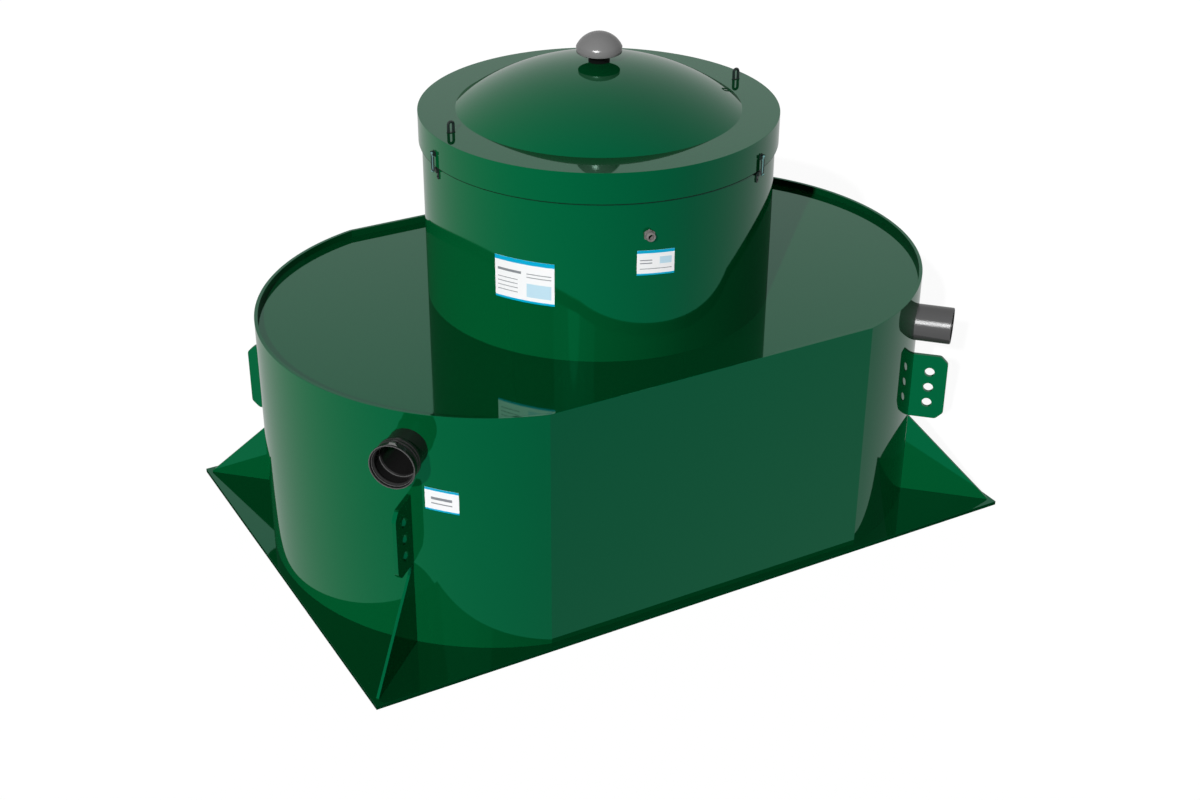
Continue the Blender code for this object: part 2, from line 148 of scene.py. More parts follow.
# light
KEY_ANGLE = -134.5          # where the key light stands, in plan
KEY_HEIGHT = 27.5           # degrees above the floor
KEY_STRENGTH = 3.7
SIDE_ANGLE = 180.0          # a low light from the left that casts no shadow
SIDE_HEIGHT = 1.0
SIDE_STRENGTH = 4.3
FILL_ANGLE = 60.0
FILL_HEIGHT = 10.0
FILL_STRENGTH = 0.7
SKY_GLOSS = 0.62
GROUND_GLOSS = 0.55
AMBIENT = 0.012
GLINT_DISTANCE = 12.0
GLINT_DISKS = ((0.7, 9.0), (1.5, 17.0), (2.5, 36.0))      # radius and power: soft at its edge
GREY_GLINT = (2.5, 5200.0)  # one more, for the glossy grey parts

GREEN = (0.0002, 0.0425, 0.0112)
GREEN_TINT = (0.0, 1.0, 0.52)   # of its mirror reflections seen head on
# painted shade: a darker green for the base plate's upright edges
EDGE_SHADE_GREEN = (0.0002, 0.036, 0.010)
ZINC = (0.22, 0.50, 0.49)
DARK_STEEL = (0.010, 0.018, 0.016)
GREY = (0.165, 0.165, 0.165)
GLAND_GREY = (0.21, 0.195, 0.19)
PIPE_GREY = (0.064, 0.064, 0.065)
# painted highlight: a light grey for the inlet's clip, in place of the shine on its flat faces
CLIP_HIGHLIGHT_GREY = (0.15, 0.155, 0.15)
# painted highlight: a lighter grey for the inlet's beads, in place of the shine on its rim, lip and inner stop
BEAD_HIGHLIGHT_GREY = (0.085, 0.085, 0.085)
BLACK = (0.014, 0.014, 0.014)
# painted shade: a deep matt black for the dark lip under the lid's skirt and to deepen the vent stem's black under
# its cap
DEEP_SHADE_BLACK = (0.003, 0.004, 0.0035)
LABEL_WHITE = (0.92, 0.93, 0.94)
LABEL_BLUE = (0.0, 0.40, 0.66)
LABEL_RULE = (0.24, 0.26, 0.28)
LABEL_PANEL = (0.52, 0.74, 0.86)

CLIP_TURN = -3.0            # of the inlet's clip from the top, about the pipe
GROOVE_CUT = 0.0030         # the inlet's grooves, a little deeper than in the solid
BEAD_R = 0.0014             # the moulded beads round the inlet's rim, lip and inner stop, lighter grey as painted highlight
BEADS = ((0.0626, -0.0006), (0.0588, -0.0068), (0.0548, -0.0500))    # ring radius and depth
LOOP_WIRE_R = 0.0017        # wire round a clasp's strap
CAP_CREASE_Z = 1.4408       # the vent cap's sharp edge, with a short band below it
CAP_LOW_Z = 1.4240
CAP_TAPER = 0.001           # how far the band draws in
CAP_ROUND = 0.002
LIP_DROP = 0.0022           # the dark lip under the lid's skirt, a matt black ring that is painted shade for the shade line under the skirt
EDGE = 0.0009               # rounding of sheet edges
SURE = 1e-6

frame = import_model()


# materials

def new_material(name):
    material = bpy.data.materials.new(name)
    material.use_nodes = True
    return material, material.node_tree.nodes, material.node_tree.links


def noise_node(nodes, links, scale, detail):
    """Noise that is fixed to the object's own space, so it doesn't slide."""
    place = nodes.new("ShaderNodeTexCoord")
    noise = nodes.new("ShaderNodeTexNoise")
    noise.inputs["Scale"].default_value = scale
    noise.inputs["Detail"].default_value = detail
    links.new(place.outputs["Object"], noise.inputs["Vector"])
    return noise


def vary_value(nodes, links, noise, socket, low, high):
    spread = nodes.new("ShaderNodeMapRange")
    spread.inputs["To Min"].default_value = low
    spread.inputs["To Max"].default_value = high
    links.new(noise.outputs["Fac"], spread.inputs["Value"])
    links.new(spread.outputs["Result"], socket)


def vary_colour(nodes, links, noise, socket, colour, amount):
    ramp = nodes.new("ShaderNodeValToRGB")
    for element, factor in zip(ramp.color_ramp.elements, (1.0 - amount, 1.0 + amount)):
        element.color = (*(c * factor for c in colour), 1.0)
    ramp.color_ramp.elements[0].position = 0.3
    ramp.color_ramp.elements[1].position = 0.7
    links.new(noise.outputs["Fac"], ramp.inputs["Fac"])
    links.new(ramp.outputs["Color"], socket)


def add_bump(nodes, links, noise, shader, distance):
    bump = nodes.new("ShaderNodeBump")
    bump.inputs["Strength"].default_value = 1.0
    bump.inputs["Distance"].default_value = distance
    links.new(noise.outputs["Fac"], bump.inputs["Height"])
    links.new(bump.outputs["Normal"], shader.inputs["Normal"])


def surface(name, colour, roughness, variation=0.03, ior=1.5, metallic=0.0, grain=220.0, bump=0.0,
            tint=(1.0, 1.0, 1.0), spread=0.3):
    """A finish with slight colour change, uneven gloss and, where bump isn't 0, a fine grain."""
    material, nodes, links = new_material(name)
    shader = nodes["Principled BSDF"]
    shader.inputs["IOR"].default_value = ior
    shader.inputs["Metallic"].default_value = metallic
    shader.inputs["Specular Tint"].default_value = (*tint, 1.0)
    broad = noise_node(nodes, links, 2.3, 2.0)
    fine = noise_node(nodes, links, grain, 4.0)
    vary_colour(nodes, links, broad, shader.inputs["Base Color"], colour, variation)
    vary_value(nodes, links, fine, shader.inputs["Roughness"], roughness * (1.0 - spread),
               roughness * (1.0 + spread))
    if bump:
        add_bump(nodes, links, fine, shader, bump)
    return material


GREEN_PLASTIC = surface("green_plastic", GREEN, 0.04, 0.02, ior=1.80, tint=GREEN_TINT)
GREEN_PLATE = surface("green_plate", GREEN, 0.04, 0.02, ior=1.80, tint=GREEN_TINT)
CAP_PLASTIC = surface("cap_plastic", GREY, 0.17, 0.02, ior=1.6, spread=0.1)
GLAND_PLASTIC = surface("gland_plastic", GLAND_GREY, 0.35, 0.03, ior=1.45, bump=0.00002)
PIPE_PLASTIC = surface("pipe_plastic", PIPE_GREY, 0.12, 0.03, ior=1.6, spread=0.15)
BLACK_PLASTIC = surface("black_plastic", BLACK, 0.20, 0.10, ior=1.5)
BEAD_HIGHLIGHT_PLASTIC = surface("bead_highlight_plastic", BEAD_HIGHLIGHT_GREY, 0.30, 0.10, ior=1.5)
CLIP_HIGHLIGHT_PLASTIC = surface("clip_highlight_plastic", CLIP_HIGHLIGHT_GREY, 0.30, 0.10, ior=1.5)
SEAL_RUBBER = surface("seal_rubber", BLACK, 0.55, 0.10, bump=0.00005)
MATT_SHADE_BLACK = surface("matt_shade_black", DEEP_SHADE_BLACK, 0.60, 0.10, ior=1.25)
ZINC_STEEL = surface("zinc_steel", ZINC, 0.30, 0.12, metallic=1.0, grain=400.0, bump=0.00003)
EYE_STEEL = surface("eye_steel", DARK_STEEL, 0.40, 0.12, grain=400.0, bump=0.00003)
WHITE_FILM = surface("label_white", LABEL_WHITE, 0.35, 0.01, ior=1.4)
BLUE_FILM = surface("label_blue", LABEL_BLUE, 0.35, 0.01, ior=1.4)
RULE_FILM = surface("label_rule", LABEL_RULE, 0.35, 0.01, ior=1.4)
PANEL_FILM = surface("label_panel", LABEL_PANEL, 0.35, 0.01, ior=1.4)


# mesh helpers

def shade_and_dull_edges(material, colour):
    """Upright faces, the plate's edges, are painted darker as shade, and have no gloss."""
    nodes, links = material.node_tree.nodes, material.node_tree.links
    shader = nodes["Principled BSDF"]
    face = nodes.new("ShaderNodeNewGeometry")
    parts = nodes.new("ShaderNodeSeparateXYZ")
    level = nodes.new("ShaderNodeMath")
    level.operation = "ABSOLUTE"
    gloss = nodes.new("ShaderNodeMath")
    gloss.operation = "MULTIPLY"
    gloss.inputs[1].default_value = shader.inputs["Specular IOR Level"].default_value
    shade = nodes.new("ShaderNodeMix")
    shade.data_type = "RGBA"
    top = shader.inputs["Base Color"].links[0].from_socket
    edge_side, top_side = [socket for socket in shade.inputs if socket.type == "RGBA"]
    edge_side.default_value = (*colour, 1.0)
    links.new(face.outputs["True Normal"], parts.inputs["Vector"])
    links.new(parts.outputs["Z"], level.inputs[0])
    links.new(level.outputs["Value"], gloss.inputs[0])
    links.new(gloss.outputs["Value"], shader.inputs["Specular IOR Level"])
    links.new(level.outputs["Value"], shade.inputs["Factor"])
    links.new(top, top_side)
    links.new([socket for socket in shade.outputs if socket.type == "RGBA"][0], shader.inputs["Base Color"])
    return material


def finish_piece(name, shape, materials, body, stands_for=(), sharp=35.0):
    """An object from a mesh in progress, smoothed and riding on its body."""
    bmesh.ops.remove_doubles(shape, verts=shape.verts, dist=SURE)
    bmesh.ops.recalc_face_normals(shape, faces=shape.faces)
    mesh = bpy.data.meshes.new(name)
    shape.to_mesh(mesh)
    shape.free()
    mesh.shade_smooth()
    mesh.set_sharp_from_angle(angle=math.radians(sharp))
    obj = bpy.data.objects.new(name, mesh)
    bpy.context.scene.collection.objects.link(obj)
    for material in materials if isinstance(materials, (list, tuple)) else [materials]:
        mesh.materials.append(material)
    even = obj.modifiers.new("even_normals", "WEIGHTED_NORMAL")
    even.keep_sharp = True
    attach(obj, body)
    if stands_for:
        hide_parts(*stands_for)
    return obj


def loft(shape, rings, across=True, along=True):
    """Skin rings of equally many points; across closes last ring to first, along closes each ring."""
    grid = [[shape.verts.new(point) for point in ring] for ring in rings]
    count = len(grid[0])
    for i in range(len(grid) if across else len(grid) - 1):
        row, following = grid[i], grid[(i + 1) % len(grid)]
        for j in range(count if along else count - 1):
            k = (j + 1) % count
            shape.faces.new((row[j], row[k], following[k], following[j]))
    return grid


def soften(points, radius, steps=3, closed=True):
    """Round each real corner of an outline of 2-D points."""
    out = []
    count = len(points)
    for i, (x, y) in enumerate(points):
        if not closed and i in (0, count - 1):
            out.append((x, y))
            continue
        here = Vector((x, y))
        back = Vector(points[i - 1]) - here
        on = Vector(points[(i + 1) % count]) - here
        turn = back.angle(on, math.pi)
        if math.pi - turn < 0.02:
            out.append((x, y))
            continue
        reach = min(radius / math.tan(turn / 2), back.length * 0.45, on.length * 0.45)
        start = here + back.normalized() * reach
        end = here + on.normalized() * reach
        for s in range(steps + 1):
            t = s / steps
            point = start * (1 - t) ** 2 + here * 2 * t * (1 - t) + end * t ** 2
            out.append((point.x, point.y))
    return out


def turned(shape, profile, sides, matrix=None, closed=True):
    """Turn (radius, height) points about Z; a closed profile is a ring's cross-section."""
    rings = []
    for radius, height in profile:
        ring = []
        for j in range(sides):
            angle = math.tau * j / sides
            point = Vector((radius * math.cos(angle), radius * math.sin(angle), height))
            ring.append(matrix @ point if matrix else point)
        rings.append(ring)
    loft(shape, rings, across=closed)


def turned_piece(name, profile, sides, material, body, stands_for=(), matrix=None, closed=True):
    shape = bmesh.new()
    turned(shape, profile, sides, matrix, closed)
    return finish_piece(name, shape, material, body, stands_for)


def racetrack(offset, height, arc_steps=100, flat_steps=12):
    """Points round the tank's plan at an offset outward from its outer face."""
    radius = END_R + offset
    flat = FLAT_Y + offset
    crease = math.degrees(math.asin(flat / radius))
    arcs = []
    for centre_x, start in ((END_X, -crease), (-END_X, 180.0 - crease)):
        arcs.append([outward(start + 2 * crease * i / arc_steps, radius, height, centre_x)
                     for i in range(arc_steps + 1)])
    points = []
    for this, following in ((arcs[0], arcs[1]), (arcs[1], arcs[0])):
        points += this
        for i in range(1, flat_steps):
            points.append(this[-1].lerp(following[0], i / flat_steps))
    return points


def outward(angle, reach, height, centre_x=0.0):
    """A point at a distance from a vertical axis, in the direction of the angle in degrees."""
    turn = math.radians(angle)
    return Vector((centre_x + reach * math.cos(turn), reach * math.sin(turn), height))


def facing(angle, reach, height, centre_x=0.0):
    """A frame at a point on a round wall: X outward, Y along the wall, Z up."""
    turn = Matrix.Rotation(math.radians(angle), 4, "Z")
    return Matrix.Translation(outward(angle, reach, height, centre_x)) @ turn


def corner_centre_x(angle):
    return END_X if math.cos(math.radians(angle)) > 0 else -END_X


def pipe_frame(angle, height, centre_x, reach):
    """A frame whose +Z points outward and level, with its origin on the pipe's outer end."""
    return facing(angle, END_R + reach, height, centre_x) @ Matrix.Rotation(math.radians(90), 4, "Y")


def flat_plate(shape, outline, thickness, matrix, holes=()):
    """An upright plate in the frame's XZ plane, centred on its Y, with round holes."""
    loops = [[Vector((x, 0.0, z)) for x, z in outline]]
    for x, z, radius, sides in holes:
        loops.append([Vector((x + radius * math.cos(math.tau * i / sides), 0.0,
                              z + radius * math.sin(math.tau * i / sides))) for i in range(sides)])
    for side in (-0.5, 0.5):
        shift = Vector((0.0, side * thickness, 0.0))
        edges = []
        for loop in loops:
            verts = [shape.verts.new(matrix @ (point + shift)) for point in loop]
            edges += [shape.edges.new((verts[i - 1], verts[i])) for i in range(len(verts))]
        bmesh.ops.triangle_fill(shape, use_beauty=True, use_dissolve=False, edges=edges)
    for loop in loops:
        rings = [[matrix @ (point + Vector((0.0, side * thickness, 0.0))) for point in loop]
                 for side in (-0.5, 0.5)]
        loft(shape, rings, across=False)


def bevelled(obj, width, segments=2):
    """Round the sharp edges of a piece or a CAD node, after welding its doubled points."""
    weld = obj.modifiers.new("weld", "WELD")
    weld.merge_threshold = 0.00002
    bevel = obj.modifiers.new("edges", "BEVEL")
    bevel.width = width
    bevel.segments = segments
    bevel.limit_method = "ANGLE"
    bevel.angle_limit = math.radians(40)
    bevel.harden_normals = True
    return obj


def block(shape, size, matrix):
    bmesh.ops.create_cube(shape, size=1.0, matrix=matrix @ Matrix.Diagonal((*size, 1.0)))


def rod(shape, radius, length, matrix, sides=24):
    bmesh.ops.create_cone(shape, cap_ends=True, segments=sides, radius1=radius, radius2=radius,
                          depth=length, matrix=matrix)


def bore_through(obj, radius, length, matrix, sides=96):
    """Cut a round hole through a finished piece and bake the cut."""
    shape = bmesh.new()
    rod(shape, radius, length, matrix, sides)
    mesh = bpy.data.meshes.new("bore")
    shape.to_mesh(mesh)
    shape.free()
    cutter = bpy.data.objects.new("bore", mesh)
    bpy.context.scene.collection.objects.link(cutter)
    cut = obj.modifiers.new("bore", "BOOLEAN")
    cut.operation = "DIFFERENCE"
    cut.solver = "EXACT"
    cut.object = cutter
    even = obj.modifiers[0]
    even.show_viewport = False
    bpy.context.view_layer.update()
    evaluated = obj.evaluated_get(bpy.context.evaluated_depsgraph_get())
    baked = bpy.data.meshes.new_from_object(evaluated)
    obj.modifiers.remove(cut)
    obj.data = baked
    baked.set_sharp_from_angle(angle=math.radians(8))
    even.show_viewport = True
    bpy.data.objects.remove(cutter, do_unlink=True)
    return obj


# tank

def make_wall():
    """One bent sheet all round, creased where the flats meet the round ends."""
    inner_rows = (0.66, 0.50, 0.34, 0.18)
    outer_rows = (0.12, 0.26, 0.40, 0.53, 0.60, 0.67)
    section = [(0.0, PLATE_T)] + [(0.0, z) for z in outer_rows] + [(0.0, RIM_Z), (-WALL_T, RIM_Z)]
    section += [(-WALL_T, z) for z in inner_rows] + [(-WALL_T, PLATE_T)]
    shape = bmesh.new()
    loft(shape, [racetrack(offset, height) for offset, height in soften(section, EDGE)])
    nodes = ["front_wall", "back_wall"]
    nodes += [f"{end}_end_{side}_wall" for end in ("left", "right") for side in ("front", "back")]
    wall = finish_piece("tank_wall", shape, GREEN_PLASTIC, "tank", nodes, sharp=8.0)
    for angle, height in ((INLET_ANGLE, INLET_Z), (OUTLET_ANGLE, OUTLET_Z)):
        matrix = pipe_frame(angle, height, corner_centre_x(angle), 0.0)
        bore_through(wall, PIPE_R + 0.0002, 0.1, matrix)


def make_deck():
    """The sunk top: a flat plate from the walls in to the neck's opening."""
    outer = [(p.x, p.y) for p in racetrack(-WALL_T + 0.0002, 0.0)]
    count = len(outer)
    rings = []
    for height in (DECK_Z, DECK_Z - DECK_T):
        rim = [Vector((x, y, height)) for x, y in outer]
        hole = []
        for x, y in outer:
            direction = Vector((x, y, 0.0)).normalized()
            hole.append(Vector((direction.x * DECK_HOLE_R, direction.y * DECK_HOLE_R, height)))
        rings += [rim, hole] if height == DECK_Z else [hole, rim]
    shape = bmesh.new()
    loft(shape, rings)
    assert count == len(rings[0])
    finish_piece("deck", shape, GREEN_PLASTIC, "tank", ("left_deck", "right_deck"))


def make_neck():
    top = LID_Z - LID_T
    rows = (1.02, 1.06, 1.10, 1.14)
    section = [(NECK_R, DECK_Z)] + [(NECK_R, z) for z in rows]
    section += [(NECK_R, top), (NECK_R - NECK_T, top), (NECK_R - NECK_T, DECK_Z)]
    nodes = [f"neck_{side}_wall" for side in QUARTERS]
    neck = turned_piece("neck_wall", section, 256, GREEN_PLASTIC, "tank", nodes)
    bore_through(neck, GLAND_BORE_R, 0.06, gland_frame(), 32)


def make_plate_and_gussets():
    """These keep their CAD shapes, with their sheet edges eased."""
    finishes = {f"gusset_{corner}": GREEN_PLASTIC for corner in CORNERS}
    # painted shade on the base plate's upright edges, picked by which way each face points
    finishes["base_plate"] = shade_and_dull_edges(GREEN_PLATE, EDGE_SHADE_GREEN)
    for name, material in finishes.items():
        node = frame["nodes"][name]
        node.data.materials.clear()
        node.data.materials.append(material)
        bevelled(node, 0.0004)


def make_lugs():
    height = LUG_TOP_Z - LUG_LOW_Z
    chamfer = LUG_CHAMFER
    outline = [(0.0, 0.0), (LUG_OUT - chamfer, 0.0), (LUG_OUT, chamfer), (LUG_OUT, height - chamfer),
               (LUG_OUT - chamfer, height), (0.0, height)]
    outline = soften(outline, 0.016, 5, closed=False)
    holes = [(LUG_HOLE_OUT, z - LUG_LOW_Z, LUG_HOLE_R, 56) for z in LUG_HOLE_HEIGHTS]
    for corner, angle in CORNERS.items():
        shape = bmesh.new()
        matrix = facing(angle, END_R, LUG_LOW_Z, corner_centre_x(angle))
        flat_plate(shape, outline, LUG_T, matrix, holes)
        lug = finish_piece("lifting_lug_" + corner, shape, GREEN_PLASTIC, "tank",
                           ("lug_" + corner,))
        bevelled(lug, 0.0005)


# lid and vent

def make_lid():
    """The lid's flat ring and its skirt, as one shell."""
    under = LID_Z - LID_T
    section = [(LID_HOLE_R, under), (LID_HOLE_R, LID_Z), (LID_R, LID_Z), (LID_R, SKIRT_BOTTOM_Z),
               (LID_R - SKIRT_T, SKIRT_BOTTOM_Z), (LID_R - SKIRT_T, under)]
    nodes = ["lid_plate"] + [f"lid_skirt_{side}" for side in QUARTERS]
    turned_piece("lid_shell", soften(section, EDGE), 256, GREEN_PLASTIC, "lid", nodes)
    # painted shade: a matt black lip stands in for the dark shade line between the skirt and the neck
    low = SKIRT_BOTTOM_Z - LIP_DROP
    high = SKIRT_BOTTOM_Z + LIP_DROP
    lip = [(LID_R - 0.0008, SKIRT_BOTTOM_Z), (LID_R - 0.0008, low), (NECK_R + 0.0015, low),
           (NECK_R + 0.0015, high), (LID_R - SKIRT_T, high), (LID_R - SKIRT_T, SKIRT_BOTTOM_Z)]
    turned_piece("lid_seal", soften(lip, 0.0006), 256, MATT_SHADE_BLACK, "lid")


def dome_height(reach):
    """Height of the dome's outer face at a distance from its axis: part of a sphere."""
    sphere = (DOME_R ** 2 + DOME_RISE ** 2) / (2 * DOME_RISE)
    return LID_Z + DOME_RISE - sphere + math.sqrt(sphere ** 2 - reach ** 2)


def make_dome():
    rings = 40
    start = VENT_R
    outer = []
    for i in range(rings + 1):
        reach = start + (DOME_R - start) * i / rings
        outer.append((reach, dome_height(reach)))
    inner = [(r - DOME_T * 0.6 * r / DOME_R, z - DOME_T) for r, z in outer[:-1]]
    inner[0] = (start, outer[0][1] - DOME_T)
    inner.append((DOME_R - DOME_FOOT, LID_Z))
    turned_piece("dome_shell", outer + inner[::-1], 192, GREEN_PLASTIC, "lid", ("lid_dome",))


def make_vent():
    """A short black pipe under a mushroom cap with a crisp edge and a band that draws in below it."""
    bore = VENT_R - VENT_T
    tube = [(VENT_R, VENT_TOP_Z), (VENT_R, VENT_LOW_Z), (bore, VENT_LOW_Z), (bore, VENT_TOP_Z)]
    # the stem is black of its own, deepened to near black as painted shade under the cap
    turned_piece("vent_stem", tube, 64, MATT_SHADE_BLACK, "lid", ("vent_pipe",))
    steps = 16
    rise = CAP_TOP_Z - CAP_CREASE_Z
    inside_r = CAP_R - CAP_T
    outer = []
    inner = []
    sphere = (CAP_R ** 2 + rise ** 2) / (2 * rise)
    for i in range(steps + 1):
        reach = CAP_R * i / steps
        height = CAP_TOP_Z - sphere + math.sqrt(sphere ** 2 - reach ** 2)
        outer.append((reach, height))
        inner.append((inside_r * i / steps, height - CAP_T))
    floor_z = CAP_LOW_Z + CAP_T
    foot_r = CAP_R - CAP_TAPER
    low = [(foot_r - CAP_ROUND * (1 - math.cos(a)), CAP_LOW_Z + CAP_ROUND * (1 - math.sin(a)))
           for a in (math.radians(d) for d in range(0, 91, 18))]
    low += [(VENT_R, CAP_LOW_Z), (VENT_R, floor_z), (inside_r - CAP_TAPER, floor_z)]
    turned_piece("vent_hood", outer + low + inner[::-1], 96, CAP_PLASTIC, "lid", ("vent_cap",),
                 closed=False)


def tube_along(shape, points, radius, side, sides=14):
    """A round wire along flat points, with closed ends; side is square to their plane."""
    rings = []
    for i, point in enumerate(points):
        on = (points[min(i + 1, len(points) - 1)] - points[max(i - 1, 0)]).normalized()
        up = on.cross(side).normalized()
        rings.append([point + (side * math.cos(math.tau * j / sides) + up * math.sin(math.tau * j / sides)) * radius
                      for j in range(sides)])
    grid = loft(shape, rings, across=False)
    shape.faces.new(grid[0])
    shape.faces.new(reversed(grid[-1]))


def make_eyes():
    """A bent wire loop on a small plate, at the left and right of the lid's ring."""
    half = EYE_WIDTH / 2
    route = [Vector((half, 0.0, 0.001))]
    route += [Vector((half * math.cos(math.radians(a)), 0.0, EYE_HEIGHT - half + half * math.sin(math.radians(a))))
              for a in range(0, 181, 9)]
    route += [Vector((-half, 0.0, 0.001))]
    for side, angle in (("left", 180.0), ("right", 0.0)):
        shape = bmesh.new()
        tube_along(shape, route, EYE_WIRE_R, Vector((0.0, 1.0, 0.0)))
        foot = (EYE_WIDTH + 2 * EYE_WIRE_R, 2 * EYE_WIRE_R, 0.002)
        block(shape, foot, Matrix.Translation((0.0, 0.0, foot[2] / 2)))
        bmesh.ops.transform(shape, matrix=facing(angle, EYE_OUT, LID_Z), verts=shape.verts)
        eye = finish_piece("lifting_eye_" + side, shape, EYE_STEEL, "lid", ("lid_eye_" + side,))
        bevelled(eye, 0.0004)


# clasps

def make_clasps():
    """A bright strap in a dark wire loop, between dark ears, over its keeper and a catch plate."""
    finishes = (("bracket", EYE_STEEL, 0.0004), ("strap", ZINC_STEEL, 0.0003), ("keeper", EYE_STEEL, 0.0006))
    half = STRAP_WIDTH / 2 + LOOP_WIRE_R / 2
    top, foot = -0.008, -STRAP_LENGTH + half
    route = [Vector((0.0, half, top)), Vector((0.0, half, foot))]
    route += [Vector((0.0, half * math.cos(math.radians(a)), foot - half * math.sin(math.radians(a))))
              for a in range(15, 166, 15)]
    route += [Vector((0.0, -half, foot)), Vector((0.0, -half, top))]
    for side, angle in LATCHES.items():
        for kind, material, width in finishes:
            node = frame["nodes"][f"latch_{kind}_{side}"]
            node.data.materials.clear()
            node.data.materials.append(material)
            bevelled(node, width)
        shape = bmesh.new()
        tube_along(shape, route, LOOP_WIRE_R, Vector((1.0, 0.0, 0.0)), 10)
        pin = facing(angle, PIN_OUT + LOOP_WIRE_R / 2, PIN_Z)
        bmesh.ops.transform(shape, matrix=pin, verts=shape.verts)
        finish_piece("clasp_loop_" + side, shape, EYE_STEEL, "latch_" + side)
        shape = bmesh.new()
        matrix = facing(angle, NECK_R, KEEPER_Z - KEEPER_HEIGHT / 2)
        length = 0.020
        block(shape, (0.0040, 0.009, length), matrix @ Matrix.Translation((0.0018, 0.0, -length / 2)))
        across = Matrix.Rotation(math.radians(90), 4, "Y")
        rod(shape, 0.0022, 0.003, matrix @ Matrix.Translation((0.0045, 0.0, -0.6 * length)) @ across, 16)
        catch = finish_piece("clasp_catch_" + side, shape, EYE_STEEL, "tank")
        bevelled(catch, 0.0005)


# pipes and gland

def make_inlet():
    """A push-fit socket with a rolled mouth, two grooves, a seal in its chamber and a clip on top."""
    matrix = pipe_frame(INLET_ANGLE, INLET_Z, corner_centre_x(INLET_ANGLE), INLET_REACH)
    total = INLET_REACH + WALL_T + PIPE_INSIDE
    slope = GROOVE_DEPTH
    outer = [(MOUTH_R, 0.0), (MOUTH_R, -MOUTH_LENGTH), (BELL_R, -MOUTH_LENGTH - slope)]
    for middle in GROOVE_PLACES:
        start = middle - GROOVE_WIDTH / 2
        end = middle + GROOVE_WIDTH / 2
        outer += [(BELL_R, -start), (BELL_R - GROOVE_CUT, -start - slope / 2)]
        outer += [(BELL_R - GROOVE_CUT, -end + slope / 2), (BELL_R, -end)]
    outer += [(BELL_R, -BELL_LENGTH), (PIPE_R, -BELL_LENGTH - BELL_TAPER), (PIPE_R, -total)]
    bore = PIPE_R - PIPE_T
    start, end = CHAMBER
    inner = [(bore, -total), (bore, -BELL_LENGTH - BELL_TAPER / 2), (BELL_BORE_R, -BELL_LENGTH)]
    inner += [(BELL_BORE_R, -end), (CHAMBER_R, -end), (CHAMBER_R, -start)]
    inner += [(BELL_BORE_R + GROOVE_DEPTH, -start), (MOUTH_BORE_R, 0.0)]
    profile = soften(outer + inner, 0.0012, 3)
    turned_piece("inlet_bell", profile, 112, BLACK_PLASTIC, "tank", ("inlet_socket",), matrix)
    middle = (start + end) / 2
    seal = [(CHAMBER_R, -start), (CHAMBER_R, -end), (SEAL_BORE_R, -end), (SEAL_BORE_R, -middle)]
    turned_piece("inlet_ring", soften(seal, 0.0012, 4), 112, SEAL_RUBBER, "tank", ("inlet_seal",),
                 matrix)
    # painted highlight: thin beads in a lighter grey than the black socket, in place of the shine along its rim,
    # lip and inner stop
    shape = bmesh.new()
    for ring_r, depth in BEADS:
        around = [math.tau * i / 12 for i in range(12)]
        turned(shape, [(ring_r + BEAD_R * math.cos(a), depth + BEAD_R * math.sin(a)) for a in around], 112, matrix)
    finish_piece("inlet_beads", shape, BEAD_HIGHLIGHT_PLASTIC, "tank")
    # painted highlight: the clip's light grey stands in for the shine on its flat faces
    shape = bmesh.new()
    reach = BELL_R - 0.001
    rings = []
    for along, half, rise in ((-0.005, 0.0150, 0.0105), (-0.015, 0.0100, 0.0085), (-0.022, 0.0050, 0.0030)):
        rings.append([Vector((-reach, -half, along)), Vector((-reach - rise, -half * 0.5, along)),
                      Vector((-reach - rise, half * 0.5, along)), Vector((-reach, half, along))])
    grid = loft(shape, rings, across=False)
    shape.faces.new(grid[0])
    shape.faces.new(reversed(grid[-1]))
    turn = Matrix.Rotation(math.radians(CLIP_TURN), 4, "Z")
    bmesh.ops.transform(shape, matrix=matrix @ turn, verts=shape.verts)
    clip = finish_piece("inlet_clip", shape, CLIP_HIGHLIGHT_PLASTIC, "tank")
    bevelled(clip, 0.0008)


def make_outlet():
    matrix = pipe_frame(OUTLET_ANGLE, OUTLET_Z, corner_centre_x(OUTLET_ANGLE), OUTLET_REACH)
    total = OUTLET_REACH + WALL_T + PIPE_INSIDE
    bore = PIPE_R - PIPE_T
    profile = [(PIPE_R - 0.0012, 0.0), (PIPE_R, -0.003), (PIPE_R, -total), (bore, -total), (bore, 0.0)]
    turned_piece("outlet_spigot", profile, 128, PIPE_PLASTIC, "tank", ("outlet_pipe",), matrix)


def gland_frame():
    return facing(GLAND_ANGLE, NECK_R, GLAND_Z) @ Matrix.Rotation(math.radians(90), 4, "Y")


def make_gland():
    """A hexagon against the neck and a domed nut with a dark bore."""
    matrix = gland_frame()
    shape = bmesh.new()
    nut = [(GLAND_BORE_R, GLAND_LENGTH), (GLAND_MOUTH_R, GLAND_LENGTH), (GLAND_R, GLAND_LENGTH - GLAND_ROUND),
           (GLAND_R, HEXAGON_LENGTH - 0.001), (GLAND_BORE_R, HEXAGON_LENGTH - 0.001)]
    turned(shape, soften(nut, 0.0008, 3), 48, matrix)
    collar = [(GLAND_BORE_R, HEXAGON_LENGTH), (HEXAGON_R - 0.0004, HEXAGON_LENGTH),
              (HEXAGON_R, HEXAGON_LENGTH - 0.0008), (HEXAGON_R, 0.0), (GLAND_BORE_R, 0.0)]
    turned(shape, collar, 6, matrix)
    finish_piece("gland_nut", shape, GLAND_PLASTIC, "tank", ("cable_gland",))


# labels

